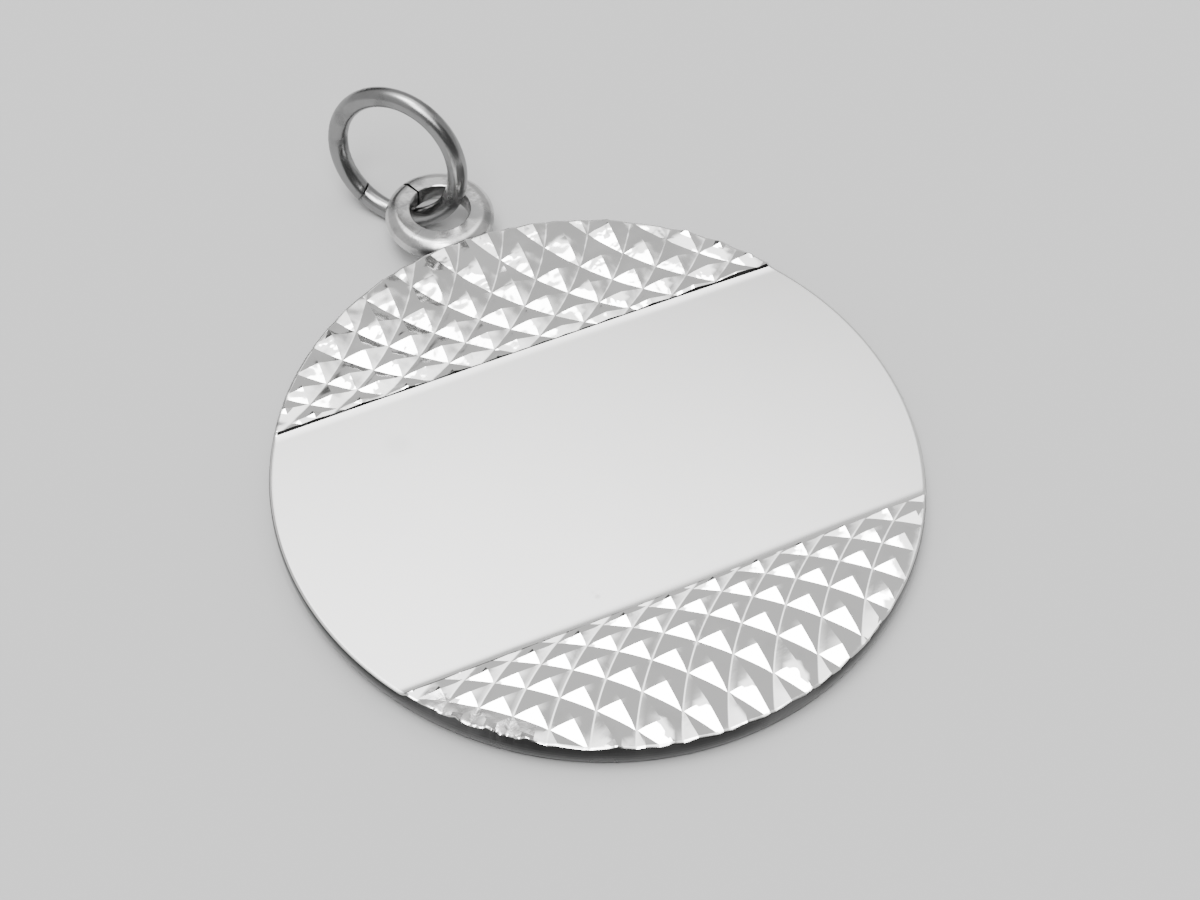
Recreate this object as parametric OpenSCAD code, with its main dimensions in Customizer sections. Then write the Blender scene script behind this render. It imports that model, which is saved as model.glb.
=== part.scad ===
// Disc pendant with a polished, sunk band between two diamond-cut segments.
// A closed eye is soldered on the rim, and a split jump ring stands in the eye.
// Millimetres, +Z up, as the pendant lies on a table: the face is up, and the eye rides on
// the jump ring's wire. The origin is on the table, under the middle of the whole pendant.

/* [Plate] */
// Diameter of the plate
disc_d = 24; // [20:0.5:30]
// Thickness of the plate before the band and the grooves are cut
plate_t = 1.45; // [1.2:0.05:2]
// How far the rim's wall bulges past the edges of the two faces
rim_bulge = 0.21; // [0.05:0.01:0.25]
// Radius that rounds the back's edge
edge_r = 0.2; // [0.1:0.05:0.4]
// Width of the polished band across the face
band_w = 12.1; // [9:0.1:13]
// Depth of the band below the face
band_drop = 0.45; // [0.3:0.01:0.6]
// Fillet at the foot of the band's two walls
band_fillet = 0.15; // [0.05:0.01:0.2]
// Radius that rounds the band's two ends
band_end_r = 0.12; // [0.05:0.01:0.2]

/* [Diamond cut] */
// Depth of the groove lines below the face, at the rim
groove_depth = 0.34; // [0.2:0.01:0.4]
// How much deeper the pyramids lie in the plate's middle than at its rim
face_dish = 0.14; // [0:0.01:0.2]
// Slope of a groove's flanks, in degrees
flank_angle = 20; // [12:1:22]
// Radius of the arcs that the grooves follow
swing_r = 12; // [11:0.5:16]
// Step between the grooves of the upper segment, along the band
upper_step = 1.84; // [1.4:0.01:2.4]
// Shift between the rising and the falling arcs of the upper segment
upper_spread = 0.66; // [0:0.01:1.4]
// Shift of the upper pattern along the band
upper_slide = 1.22; // [0:0.01:1.4]
// Turn of the upper pattern against the band, in degrees
upper_turn = -2.4; // [-4:0.1:4]
// How far the upper arcs would reach past the band's edge, towards the middle
upper_overlap = 1.7; // [1.2:0.01:2.5]
// Step between the grooves of the lower segment, along the band
lower_step = 1.77; // [1.4:0.01:2.4]
// Shift between the rising and the falling arcs of the lower segment
lower_spread = 1.14; // [0:0.01:1.4]
// Shift of the lower pattern along the band
lower_slide = 1.23; // [0:0.01:1.4]
// Turn of the lower pattern against the band, in degrees
lower_turn = 1.1; // [-4:0.1:4]
// How far the lower arcs would reach past the band's edge, towards the middle
lower_overlap = 1.37; // [1.2:0.01:2.5]

/* [Eye] */
// Inner diameter of the eye
eye_bore = 2.16; // [2:0.02:3]
// Diameter of the eye's wire
eye_wire = 1.08; // [0.8:0.02:1.3]
// How far the eye's wire sinks into the rim
eye_sink = 0.2; // [0.1:0.01:0.3]
// How far the eye sits to the side of the middle
eye_side = -0.3; // [-1:0.05:1]
// Width of the solder between the eye and the rim
solder_w = 1.8; // [1:0.1:2.4]
// Thickness of the solder
solder_t = 0.7; // [0.4:0.05:0.8]
// Where the eye's seam lies, in degrees round the eye
seam_angle = 112; // [60:1:150]
// Width of the seam
seam_w = 0.08; // [0.04:0.01:0.15]
// Depth of the seam, from the wire's top
seam_depth = 0.4; // [0.2:0.02:0.6]

/* [Jump ring] */
// Inner diameter of the jump ring
ring_bore = 4.6; // [4.2:0.1:6]
// Diameter of the jump ring's wire
ring_wire = 0.8; // [0.6:0.02:0.9]
// Width of the slit between the wire's two ends
slit_w = 0.1; // [0.05:0.01:0.3]
// Where the slit lies, in degrees round the ring from its side at mid-height
slit_angle = 236; // [215:1:245]
// Heading of the ring's plane on the table, in degrees
ring_heading = -52; // [-70:1:-35]
// Lean of the ring's plane from upright, in degrees
ring_lean = 9.7; // [0:0.1:20]
// Where the ring's wire passes under the eye, in degrees round the eye
cross_angle = 120; // [105:0.5:135]
// Distance from there to the ring's lowest point
cross_slip = 0.63; // [0:0.05:0.9]
// Clearance named between the ring's wire and the eye
ring_gap = 0.1; // [0.06:0.01:0.2]

/* [Hidden] */

// Plate: the wall is an arc, and the lower edge's rounding meets it
disc_r = disc_d / 2;
bulge_r = (pow(plate_t / 2, 2) + pow(rim_bulge, 2)) / (2 * rim_bulge);
function wall_at(z) = disc_r - bulge_r + sqrt(pow(bulge_r, 2) - pow(z - plate_t / 2, 2));
foot_r = wall_at(edge_r) - edge_r;
band_edge = band_w / 2;
band_z = plate_t - band_drop;
band_end = wall_at(band_z) - band_end_r;
above = 1;

// Eye, in the plate's own frame: the plate's middle, with the plate's back at zero
eye_r = (eye_bore + eye_wire) / 2;
eye_y = sqrt(pow(disc_r - eye_sink + eye_r + eye_wire / 2, 2) - pow(eye_side, 2));
eye_mid = eye_wire / 2;

// Jump ring: where it passes under the eye, and its lowest point on the table
ring_r = (ring_bore + ring_wire) / 2;
slit_deg = 2 * asin(slit_w / 2 / ring_r);
cross_x = eye_side + eye_r * cos(cross_angle);
cross_y = eye_y + eye_r * sin(cross_angle);
foot_x = cross_x - cross_slip * cos(ring_heading);
foot_y = cross_y - cross_slip * sin(ring_heading);

// Rest: the plate leans about its far lower edge until the eye clears the ring's wire
rest_turn = atan2(-foot_x, foot_y);
wire_rise = ring_r - sqrt(pow(ring_r, 2) - pow(cross_slip, 2));
eye_height = ring_wire + wire_rise + eye_wire / 2 + ring_gap;
cross_arm = foot_r + cross_y * cos(rest_turn) - cross_x * sin(rest_turn);
rest_lean = asin((eye_height - eye_mid) / cross_arm);
lean_slip = cross_arm * (1 - cos(rest_lean)) + (eye_mid - edge_r) * sin(rest_lean);
foot_at = [foot_x + lean_slip * sin(rest_turn), foot_y - lean_slip * cos(rest_turn)];

// The whole pendant's middle along Y, between the leaning rim and the jump ring
rim_front = cos(rest_turn) * (foot_r * (1 - cos(rest_lean)) + (plate_t / 2 - edge_r) * sin(rest_lean))
    + (disc_r - bulge_r) * norm([sin(rest_turn), cos(rest_turn) * cos(rest_lean)]) + bulge_r;
ring_back = foot_at[1] + ring_r * sin(ring_lean) * cos(ring_heading)
    + ring_r * sqrt(1 - pow(cos(ring_lean) * cos(ring_heading), 2)) + ring_wire / 2;
middle_y = (ring_back - rim_front) / 2;

round_fn = 180;
ring_fn = 96;
wire_fn = 36;

// The line that holds the centres of a segment's arcs, as a distance from the plate's middle
function centres_y(overlap) = band_edge - overlap + swing_r;

// Place of a crossing of two grooves, for a row and a column of a segment's pattern
function row_span(row, step, spread) = min(row * step + spread, 2 * swing_r);
function row_y(row, step, spread, overlap) =
    centres_y(overlap) - sqrt(pow(swing_r, 2) - pow(row_span(row, step, spread) / 2, 2));
function odd(row) = row % 2;

// Height of the groove lines over a place of the plate, which follows the slightly dished face
function groove_z(place) =
    plate_t - groove_depth - face_dish * (1 - pow(norm(place) / disc_r, 2));

// Rows and columns that cover a segment, with a cell to spare on each side
function span_at(y, overlap) = 2 * sqrt(max(0, pow(swing_r, 2) - pow(centres_y(overlap) - y, 2)));
function first_row(step, spread, overlap) =
    max(0, floor((span_at(band_edge, overlap) - spread) / step) - 2);
function last_row(step, spread, overlap) = ceil((span_at(disc_r, overlap) - spread) / step);
function columns(step) = ceil(disc_r / step) + 2;

// The middle of the circle that touches a cell's four sides, above the row, and its radius
function cell_middle(half, up, down) =
    (up * norm([half, down]) - down * norm([half, up])) / (norm([half, up]) + norm([half, down]));
function cell_radius(half, up, down) = half * (up + down) / (norm([half, up]) + norm([half, down]));

// Round blank of the plate, with a bulging wall and a rounded lower edge
module plate_blank() {
    rotate_extrude($fn = round_fn)
        intersection() {
            union() {
                square([disc_r - bulge_r, plate_t]);
                translate([disc_r - bulge_r, plate_t / 2])
                    circle(r = bulge_r, $fn = round_fn);
            }
            union() {
                translate([0, edge_r])
                    square([disc_r, plate_t - edge_r]);
                square([foot_r, 2 * edge_r]);
                translate([foot_r, edge_r])
                    circle(r = edge_r, $fn = wire_fn);
            }
        }
}

// What the milled band takes from the face, with a fillet at the foot of each wall
module band_cut() {
    rotate([90, 0, 90])
        linear_extrude(height = disc_d + 2 * above, center = true)
            union() {
                translate([-band_edge, band_z + band_fillet])
                    square([band_w, above]);
                translate([band_fillet - band_edge, band_z])
                    square([band_w - 2 * band_fillet, above]);
                for (side = [-1, 1])
                    translate([side * (band_edge - band_fillet), band_z + band_fillet])
                        circle(r = band_fillet, $fn = wire_fn);
            }
    intersection() {
        rotate_extrude($fn = round_fn)
            difference() {
                translate([band_end, band_z - band_end_r])
                    square([band_end_r + above, band_end_r + above]);
                translate([band_end, band_z - band_end_r])
                    circle(r = band_end_r, $fn = wire_fn);
            }
        translate([-disc_d, band_fillet - band_edge, 0])
            cube([2 * disc_d, band_w - 2 * band_fillet, plate_t + above]);
    }
}

// Everything above one segment's pyramids, as one closed body over the whole pattern
module above_pyramids(step, spread, slide, overlap) {
    row_a = first_row(step, spread, overlap);
    rows = last_row(step, spread, overlap) - row_a + 2;
    half_count = columns(step);
    wide = 2 * half_count + 1;

    function grid(r, c) =
        [slide + step * (c - half_count + odd(row_a + r) / 2), row_y(row_a + r, step, spread, overlap)];
    function up(r) = grid(r + 1, 0)[1] - grid(r, 0)[1];
    function middle(r) = cell_middle(step / 2, up(r), up(r - 1));
    function peak(r) = tan(flank_angle) * cell_radius(step / 2, up(r), up(r - 1));
    function shift(r) = odd(row_a + r);
    function top(r, c) = grid(r, c) + [step / 2, middle(r)];

    // A cell lies between four crossings: left and right in its row, one above and one below
    function is_cell(r, c) = r > 0 && r < rows - 1 && c >= 0 && c < wide - 1
        && norm(grid(r, c) + [step / 2, 0]) < disc_r + step;
    function left(r, c) = r * wide + c;
    function corners(r, c) = [
        left(r, c), left(r - 1, c + shift(r)), left(r, c + 1), left(r + 1, c + shift(r))
    ];
    // The neighbours across the sides: lower left, lower right, upper right, upper left
    function next_cells(r, c) = [
        [r - 1, c - 1 + shift(r)], [r - 1, c + shift(r)],
        [r + 1, c + shift(r)], [r + 1, c - 1 + shift(r)]
    ];

    count = rows * wide;
    cells = [for (r = [1 : rows - 2]) for (c = [0 : wide - 2]) if (is_cell(r, c)) [r, c]];
    low_points = [for (r = [0 : rows - 1]) for (c = [0 : wide - 1])
        [each grid(r, c), groove_z(grid(r, c))]];
    lid_points = [for (p = low_points) [p[0], p[1], plate_t + above]];
    peak_points = [for (cell = cells)
        [each top(cell[0], cell[1]), groove_z(top(cell[0], cell[1])) + peak(cell[0])]];
    flanks = [for (i = [0 : len(cells) - 1]) let (ring = corners(cells[i][0], cells[i][1]))
        for (s = [0 : 3]) [ring[s], ring[(s + 1) % 4], 2 * count + i]];
    lids = [for (cell = cells) let (ring = corners(cell[0], cell[1]))
        [for (s = [3 : -1 : 0]) ring[s] + count]];
    walls = [for (cell = cells)
        let (ring = corners(cell[0], cell[1]), beyond = next_cells(cell[0], cell[1]))
        for (s = [0 : 3]) if (!is_cell(beyond[s][0], beyond[s][1]))
            [ring[s], ring[s] + count, ring[(s + 1) % 4] + count, ring[(s + 1) % 4]]];
    polyhedron(concat(low_points, lid_points, peak_points), concat(flanks, lids, walls));
}

// What the cutter takes from one segment, seen with the segment towards +Y
module segment_cut(step, spread, slide, turn, overlap) {
    intersection() {
        rotate([0, 0, turn])
            above_pyramids(step, spread, slide, overlap);
        translate([-disc_r - above, band_edge - band_fillet / 2, 0])
            cube([disc_d + 2 * above, disc_r, plate_t + above / 2]);
    }
}

// Plate with its sunk band and its two cut segments
module cut_plate() {
    difference() {
        plate_blank();
        band_cut();
        segment_cut(upper_step, upper_spread, upper_slide, upper_turn, upper_overlap);
        rotate([0, 0, 180])
            segment_cut(lower_step, lower_spread, lower_slide, lower_turn, lower_overlap);
    }
}

// Eye: a closed ring of round wire, with the notch of its seam
module eye() {
    translate([eye_side, eye_y, eye_mid])
        difference() {
            rotate_extrude($fn = ring_fn)
                translate([eye_r, 0])
                    circle(d = eye_wire, $fn = wire_fn);
            rotate([0, 0, seam_angle])
                translate([eye_r - eye_wire, -seam_w / 2, eye_wire / 2 - seam_depth])
                    cube([2 * eye_wire, seam_w, eye_wire]);
        }
}

// Solder that fills the wedge between the eye and the rim
module solder() {
    difference() {
        translate([eye_side - solder_w / 2, foot_r - edge_r, eye_mid - solder_t / 2])
            cube([solder_w, disc_r - foot_r + edge_r + eye_wire / 2, solder_t]);
        translate([eye_side, eye_y, 0])
            cylinder(r = eye_r, h = plate_t, $fn = ring_fn);
    }
}

// The plate with its eye, one soldered piece, flat on its back
module soldered_disc() {
    union() {
        cut_plate();
        eye();
        solder();
    }
}

// Leans what lies flat about the plate's far lower edge
module leaned() {
    rotate([0, 0, rest_turn])
        translate([0, -foot_r, edge_r])
            rotate([rest_lean, 0, 0])
                translate([0, foot_r, -edge_r])
                    rotate([0, 0, -rest_turn])
                        children();
}

module disc() {
    color("silver")
        translate([0, -middle_y, 0])
            leaned()
                soldered_disc();
}

module jump_ring() {
    color("darkgray")
        translate([foot_at[0], foot_at[1] - middle_y, ring_wire / 2])
            rotate([0, 0, ring_heading])
                rotate([90 - ring_lean, 0, 0])
                    translate([0, ring_r, 0])
                        rotate([0, 0, slit_angle + slit_deg / 2])
                            rotate_extrude(angle = 360 - slit_deg, $fn = ring_fn)
                                translate([ring_r, 0])
                                    circle(d = ring_wire, $fn = wire_fn);
}

disc();
jump_ring();
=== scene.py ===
"""Dresses the disc pendant: a plate with a band and two diamond-cut segments, its eye and its jump ring.

Lengths are in millimetres and angles in degrees. The last step of each piece puts it in the part's frame,
in metres.
"""

import logging
import math
from dataclasses import dataclass
from enum import Enum
from typing import Callable

import bmesh
import bpy
from mathutils import Matrix, Vector, noise


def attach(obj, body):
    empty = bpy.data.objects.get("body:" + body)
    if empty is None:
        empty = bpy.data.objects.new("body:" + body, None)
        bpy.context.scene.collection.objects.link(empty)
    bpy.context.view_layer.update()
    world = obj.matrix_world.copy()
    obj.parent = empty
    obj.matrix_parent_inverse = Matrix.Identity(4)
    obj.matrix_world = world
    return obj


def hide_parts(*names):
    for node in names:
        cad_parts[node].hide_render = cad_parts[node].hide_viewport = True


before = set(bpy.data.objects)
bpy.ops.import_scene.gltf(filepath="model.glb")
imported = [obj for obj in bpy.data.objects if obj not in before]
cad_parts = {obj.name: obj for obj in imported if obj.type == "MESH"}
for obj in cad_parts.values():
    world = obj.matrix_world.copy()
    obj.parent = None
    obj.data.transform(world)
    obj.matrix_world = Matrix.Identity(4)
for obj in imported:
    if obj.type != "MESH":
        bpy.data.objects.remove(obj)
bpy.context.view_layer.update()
log = logging.getLogger("pendant")

MM = 0.001
UP = Vector((0.0, 0.0, 1.0))
AHEAD = Vector((1.0, 0.0, 0.0))
ORIGIN = (0.0, 0.0, 0.0)
# A corner this near to a line or a radius lies on it, and one this near to a level lies on that.
ON_LINE = 0.004
ON_LEVEL = 2e-6

Edges = list[bmesh.types.BMEdge]
Mover = Callable[[bmesh.types.BMVert], Vector]
Value = float | bpy.types.NodeSocket


# Helpers that every piece shares


def smooth(low: float, high: float, value: float) -> float:
    """Ease a value from 0 at low to 1 at high."""
    share = min(1.0, max(0.0, (value - low) / (high - low)))
    return share * share * (3.0 - 2.0 * share)


def turned(degrees: float, axis: str = "Z") -> Matrix:
    """Return a turn about one axis as a 4 by 4 matrix."""
    return Matrix.Rotation(math.radians(degrees), 4, axis)


def trim(bm: bmesh.types.BMesh, point: Vector, outward: Vector) -> None:
    """Cut away what lies beyond a plane.

    Args:
        bm: The mesh to cut.
        point: A point of the plane.
        outward: The plane's normal, towards what goes.
    """
    geom = bm.verts[:] + bm.edges[:] + bm.faces[:]
    bmesh.ops.bisect_plane(bm, geom=geom, dist=1e-5, plane_co=point, plane_no=outward, clear_outer=True)


def extrude_ring(bm: bmesh.types.BMesh, edges: Edges, move: Mover) -> Edges:
    """Extrude a line of edges once and put its new vertices in place.

    Args:
        bm: The mesh that holds the edges.
        edges: The line to extrude.
        move: Gives a new vertex's place from the vertex, which still lies on the old one.

    Returns:
        The new line's edges.
    """
    made = bmesh.ops.extrude_edge_only(bm, edges=edges)["geom"]
    verts = [g for g in made if isinstance(g, bmesh.types.BMVert)]
    places = [move(v) for v in verts]
    for vert, place in zip(verts, places):
        vert.co = place
    fresh = set(verts)
    return [g for g in made if isinstance(g, bmesh.types.BMEdge) and fresh.issuperset(g.verts)]


def stand_section(
    bm: bmesh.types.BMesh, verts: list[bmesh.types.BMVert], ring_r: float, heading: float
) -> None:
    """Stand a wire's flat section up at its place on a ring.

    Args:
        bm: The mesh that holds the section.
        verts: The section's corners, about the origin.
        ring_r: The radius of the ring that the wire's middle follows.
        heading: The section's place on the ring.
    """
    bmesh.ops.rotate(bm, verts=verts, matrix=turned(90.0, "X"), cent=ORIGIN)
    bmesh.ops.translate(bm, verts=verts, vec=(ring_r, 0.0, 0.0))
    bmesh.ops.rotate(bm, verts=verts, matrix=turned(heading), cent=ORIGIN)


def spin_up(bm: bmesh.types.BMesh, geom: list, angle: float, steps: int) -> list:
    """Spin a shape about the origin's upright axis.

    Args:
        bm: The mesh that holds the shape.
        geom: The shape's corners, edges and faces.
        angle: How far it spins, in radians.
        steps: How many steps it takes.

    Returns:
        The shape at the spin's end.
    """
    made = bmesh.ops.spin(bm, geom=geom, cent=ORIGIN, axis=UP, dvec=ORIGIN, angle=angle, steps=steps)
    return made["geom_last"]


def finish_piece(
    name: str, bm: bmesh.types.BMesh, finishes: list[bpy.types.Material]
) -> bpy.types.Object:
    """Turn a bmesh into a piece that rides on the part.

    Args:
        name: The piece's name.
        bm: Its mesh, in the part's frame, in metres. It is freed.
        finishes: Its materials, in the order of the faces' material numbers.

    Returns:
        The new object.
    """
    mesh = bpy.data.meshes.new(name)
    bm.to_mesh(mesh)
    bm.free()
    for finish in finishes:
        mesh.materials.append(finish)
    piece = bpy.data.objects.new(name, mesh)
    bpy.context.scene.collection.objects.link(piece)
    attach(piece, "root")
    log.info("%s: %d faces", name, len(mesh.polygons))
    return piece


# How the pendant lies


@dataclass(frozen=True)
class Rest:
    """How the plate leans on the table.

    Attributes:
        turn: How far the heading of the edge that the plate leans on is turned from -Y.
        lean: How far the plate leans.
        foot_r: How far the middle of that edge's rounding lies from the plate's middle.
        foot_edge: That rounding's radius.
        middle_y: How far the plate's middle lies on the -Y side of the part's origin, before it leans.
    """

    turn: float = 5.396476
    lean: float = 2.061563
    foot_r: float = 11.694286
    foot_edge: float = 0.2
    middle_y: float = 3.316551

    def matrix(self) -> Matrix:
        """Work out where the plate's own frame lies.

        Returns:
            The matrix from the plate's own frame in millimetres to the part's in metres.
        """
        arm = Matrix.Translation((0.0, self.foot_r, -self.foot_edge))
        leaned = turned(self.turn) @ arm.inverted() @ turned(self.lean, "X") @ arm @ turned(-self.turn)
        return Matrix.Scale(MM, 4) @ Matrix.Translation((0.0, -self.middle_y, 0.0)) @ leaned


# Finishes


class Tone(Enum):
    """The greys of the metal's parts."""

    BRIGHT = (0.93, 0.925, 0.915, 1.0)
    SATIN = (0.80, 0.795, 0.785, 1.0)
    SOFT = (0.60, 0.595, 0.59, 1.0)
    DULL = (0.42, 0.415, 0.41, 1.0)
    SHADE = (0.27, 0.27, 0.27, 1.0)
    # DARK and BLACK also paint shade and dark reflection on the rim's wall, the upper chord wall, the eye's
    # seam and the jump ring's ends; DARK is also the wire's dulled tone.
    DARK = (0.10, 0.10, 0.10, 1.0)
    BLACK = (0.03, 0.03, 0.03, 1.0)


@dataclass(frozen=True)
class Layer:
    """One noise of the wear group.

    Attributes:
        size: The input for its size, in features per millimetre.
        output: Its output.
        default: The input's default.
        detail: The noise's detail.
    """

    size: str
    output: str
    default: float
    detail: float


WEAR_LAYERS = (
    Layer("Clouds", "Cloud", 0.5, 4.0),
    Layer("Grain", "Speckle", 6.0, 2.0),
    Layer("Waves", "Wave", 0.7, 0.0),
)


def math_node(tree: bpy.types.NodeTree, kind: str, first: Value, second: Value) -> bpy.types.NodeSocket:
    """Add a math node.

    Args:
        tree: The node tree.
        kind: The operation's name.
        first: A socket or a number.
        second: A socket or a number.

    Returns:
        The result's socket.
    """
    node = tree.nodes.new("ShaderNodeMath")
    node.operation = kind
    for socket, value in zip(node.inputs, (first, second)):
        if isinstance(value, bpy.types.NodeSocket):
            tree.links.new(value, socket)
        else:
            socket.default_value = value
    return node.outputs[0]


def range_node(
    tree: bpy.types.NodeTree, value: bpy.types.NodeSocket, low: float, high: float
) -> bpy.types.NodeSocket:
    """Add a smooth map of a value to 0 to 1.

    Args:
        tree: The node tree.
        value: The value's socket.
        low: The value that gives 0.
        high: The value that gives 1.

    Returns:
        The result's socket.
    """
    node = tree.nodes.new("ShaderNodeMapRange")
    node.interpolation_type = "SMOOTHSTEP"
    node.inputs["From Min"].default_value = low
    node.inputs["From Max"].default_value = high
    tree.links.new(value, node.inputs["Value"])
    return node.outputs["Result"]


def wear_group() -> bpy.types.NodeTree:
    """Make the group for handling wear: cloudy dulling, fine grain and waviness over a surface.

    Returns:
        The group, which reads a place in metres and puts out one value for each layer.
    """
    group = bpy.data.node_groups.new("handling_wear", "ShaderNodeTree")
    group.interface.new_socket(name="Place", in_out="INPUT", socket_type="NodeSocketVector")
    for layer in WEAR_LAYERS:
        socket = group.interface.new_socket(name=layer.size, in_out="INPUT", socket_type="NodeSocketFloat")
        socket.default_value = layer.default
    for layer in WEAR_LAYERS:
        group.interface.new_socket(name=layer.output, in_out="OUTPUT", socket_type="NodeSocketFloat")
    source, out = group.nodes.new("NodeGroupInput"), group.nodes.new("NodeGroupOutput")
    for layer in WEAR_LAYERS:
        node = group.nodes.new("ShaderNodeTexNoise")
        node.inputs["Detail"].default_value = layer.detail
        group.links.new(source.outputs["Place"], node.inputs["Vector"])
        scale = math_node(group, "MULTIPLY", source.outputs[layer.size], 1.0 / MM)
        group.links.new(scale, node.inputs["Scale"])
        group.links.new(node.outputs["Fac"], out.inputs[layer.output])
    return group


@dataclass(frozen=True)
class Stain:
    """A faint stain on the face.

    Attributes:
        x: Its place in the part's frame, along the band.
        y: Its place in the part's frame, across the band.
        radius: Its radius.
        strength: How far it takes the colour to the dull tone.
        soft: The share of the radius over which it fades in.
    """

    x: float
    y: float
    radius: float
    strength: float
    soft: float = 0.8


@dataclass(frozen=True)
class Metal:
    """One finish of the silver.

    Attributes:
        name: The material's name.
        tone: The clean metal's colour.
        worn: The colour where it has dulled.
        rough: Roughness where it is clean and where it has dulled.
        dulled: The cloud values between which the metal turns dull.
        clouds: Size of the dull patches, in features per millimetre.
        grain: Size of the fine grain, in features per millimetre, and its height.
        waves: Size of the waviness, in features per millimetre, and its height.
        bites: Height of the waviness where a facet is marked as ragged.
        stains: The finish's stains.
        clean_waves: The share of the waves' height that clean metal has, which dull metal has on top.
    """

    name: str
    tone: Tone
    worn: Tone
    rough: tuple[float, float]
    dulled: tuple[float, float]
    clouds: float
    grain: tuple[float, float]
    waves: tuple[float, float]
    bites: float = 0.0
    stains: tuple[Stain, ...] = ()
    clean_waves: float = 0.35

    def stained(
        self, tree: bpy.types.NodeTree, place: bpy.types.NodeSocket, colour: bpy.types.NodeSocket
    ) -> bpy.types.NodeSocket:
        """Darken a colour at the finish's stains.

        Args:
            tree: The material's nodes.
            place: The place on the object.
            colour: The colour without stains.

        Returns:
            The colour with them.
        """
        for stain in self.stains:
            flat = tree.nodes.new("ShaderNodeVectorMath")
            flat.operation = "MULTIPLY"
            flat.inputs[1].default_value = (1.0, 1.0, 0.0)
            tree.links.new(place, flat.inputs[0])
            gap = tree.nodes.new("ShaderNodeVectorMath")
            gap.operation = "DISTANCE"
            gap.inputs[1].default_value = (stain.x * MM, stain.y * MM, 0.0)
            tree.links.new(flat.outputs["Vector"], gap.inputs[0])
            inside = math_node(tree, "SUBTRACT", stain.radius * MM, gap.outputs["Value"])
            near = range_node(tree, inside, 0.0, stain.soft * stain.radius * MM)
            mix = tree.nodes.new("ShaderNodeMix")
            mix.data_type = "RGBA"
            mix.inputs["B"].default_value = Tone.DULL.value
            tree.links.new(math_node(tree, "MULTIPLY", near, stain.strength), mix.inputs["Factor"])
            tree.links.new(colour, mix.inputs["A"])
            colour = mix.outputs["Result"]
        return colour

    def relief(
        self, tree: bpy.types.NodeTree, wear: bpy.types.Node, dull: bpy.types.NodeSocket
    ) -> bpy.types.NodeSocket:
        """Add the finish's fine relief.

        Args:
            tree: The material's nodes.
            wear: The wear group's node.
            dull: Where the metal is dull.

        Returns:
            The height, in metres.
        """
        speckle = math_node(tree, "MULTIPLY", wear.outputs["Speckle"], self.grain[1] * MM)
        share = math_node(tree, "ADD", dull, self.clean_waves)
        depth = math_node(tree, "MULTIPLY", share, self.waves[1] * MM)
        if self.bites > 0.0:
            facets = tree.nodes.new("ShaderNodeAttribute")
            facets.attribute_name = "ragged"
            marked = math_node(tree, "MULTIPLY", facets.outputs["Fac"], dull)
            bitten = math_node(tree, "MULTIPLY", marked, self.bites * MM)
            depth = math_node(tree, "ADD", depth, bitten)
        return math_node(tree, "ADD", speckle, math_node(tree, "MULTIPLY", wear.outputs["Wave"], depth))

    def material(self, group: bpy.types.NodeTree) -> bpy.types.Material:
        """Build the finish's material.

        Args:
            group: The shared wear group.

        Returns:
            The material.
        """
        made = bpy.data.materials.new(self.name)
        made.use_nodes = True
        tree = made.node_tree
        shader = tree.nodes["Principled BSDF"]
        shader.inputs["Metallic"].default_value = 1.0
        place = tree.nodes.new("ShaderNodeTexCoord").outputs["Object"]
        wear = tree.nodes.new("ShaderNodeGroup")
        wear.node_tree = group
        tree.links.new(place, wear.inputs["Place"])
        wear.inputs["Clouds"].default_value = self.clouds
        wear.inputs["Grain"].default_value = self.grain[0]
        wear.inputs["Waves"].default_value = self.waves[0]
        dull = range_node(tree, wear.outputs["Cloud"], *self.dulled)
        mix = tree.nodes.new("ShaderNodeMix")
        mix.data_type = "RGBA"
        mix.inputs["A"].default_value = self.tone.value
        mix.inputs["B"].default_value = self.worn.value
        tree.links.new(dull, mix.inputs["Factor"])
        tree.links.new(self.stained(tree, place, mix.outputs["Result"]), shader.inputs["Base Color"])
        spread = self.rough[1] - self.rough[0]
        rough = math_node(tree, "ADD", math_node(tree, "MULTIPLY", dull, spread), self.rough[0])
        tree.links.new(rough, shader.inputs["Roughness"])
        height = self.relief(tree, wear, dull)
        bump = tree.nodes.new("ShaderNodeBump")
        bump.inputs["Distance"].default_value = 1.0
        tree.links.new(height, bump.inputs["Height"])
        tree.links.new(bump.outputs["Normal"], shader.inputs["Normal"])
        return made


BAND_POLISH = Metal(
    "band_polish", Tone.BRIGHT, Tone.BRIGHT, rough=(0.16, 0.22), dulled=(0.35, 0.75), clouds=0.12,
    grain=(9.0, 0.0002), waves=(0.06, 0.004),
    stains=(Stain(-6.35, 0.5, 0.75, 0.13), Stain(-2.52, -8.48, 0.16, 0.4), Stain(-2.6, -8.25, 0.08, 0.3)),
)
CLEAN_CUT = Metal(
    "clean_cut", Tone.BRIGHT, Tone.SATIN, rough=(0.05, 0.12), dulled=(0.5, 0.8), clouds=0.6,
    grain=(6.0, 0.0003), waves=(0.9, 0.012),
)
RAGGED_CUT = Metal(
    "ragged_cut", Tone.BRIGHT, Tone.SATIN, rough=(0.05, 0.12), dulled=(0.36, 0.52), clouds=0.35,
    grain=(5.0, 0.0006), waves=(2.1, 0.013), bites=0.055,
)
# Near black for a silver: a painted dark reflection on the rim's wall, reused for painted shade in the eye's
# seam and painted dark reflection on the jump ring's ends.
RIM_PAINTED_DARK = Metal(
    "rim_painted_dark", Tone.BLACK, Tone.DARK, rough=(0.22, 0.4), dulled=(0.45, 0.75), clouds=0.25,
    grain=(7.0, 0.002), waves=(0.5, 0.01),
)
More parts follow.
